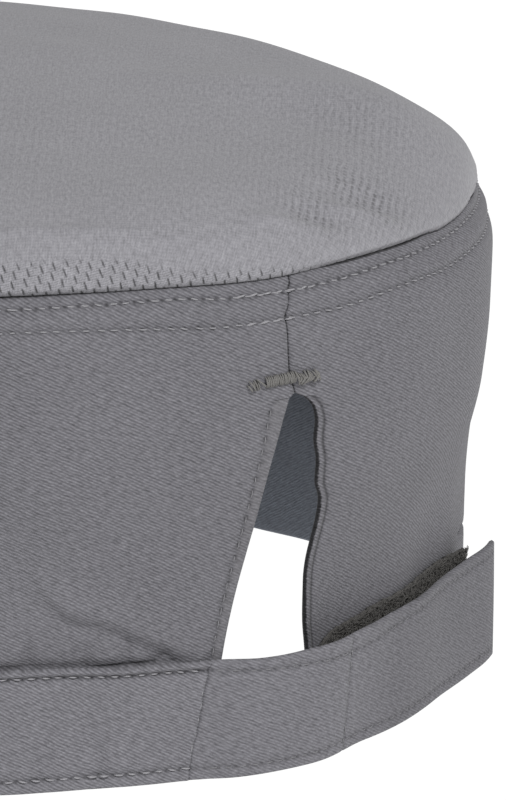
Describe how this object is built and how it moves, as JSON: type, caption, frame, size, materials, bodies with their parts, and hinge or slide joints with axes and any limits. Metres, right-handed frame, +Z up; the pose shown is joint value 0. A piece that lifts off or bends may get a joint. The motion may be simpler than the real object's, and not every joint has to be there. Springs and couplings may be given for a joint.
{
  "type": "chef skull cap",
  "caption": "Soft brimless kitchen cap: puffed mesh crown on a twill side wall, with a slit at the back closed by a hook-and-loop strap.",
  "frame": {"origin": "middle of the whole cap's box, on the surface that its rim rests on", "axes": "+Z up, forehead towards -Y, the slit at the back towards +Y, the strap's tail towards -X"},
  "size_m": [0.1776, 0.2072, 0.102],
  "materials": {
    "knit": "light grey knitted mesh with small slots",
    "twill": "grey cotton-blend twill, matte",
    "lining": "slate twill, matte",
    "tape": "dark napped hook-and-loop tape",
    "thread": "grey sewing thread"
  },
  "bodies": {
    "root": {"crown_top": "knit", "side_wall": "twill", "sweatband": "lining", "hem_band": "twill", "adjust_strap": "twill", "loop_tape": "tape", "hook_tape": "tape", "slit_hem_left": "twill", "slit_hem_right": "twill", "bar_tack": "thread"}
  },
  "joints": []
}
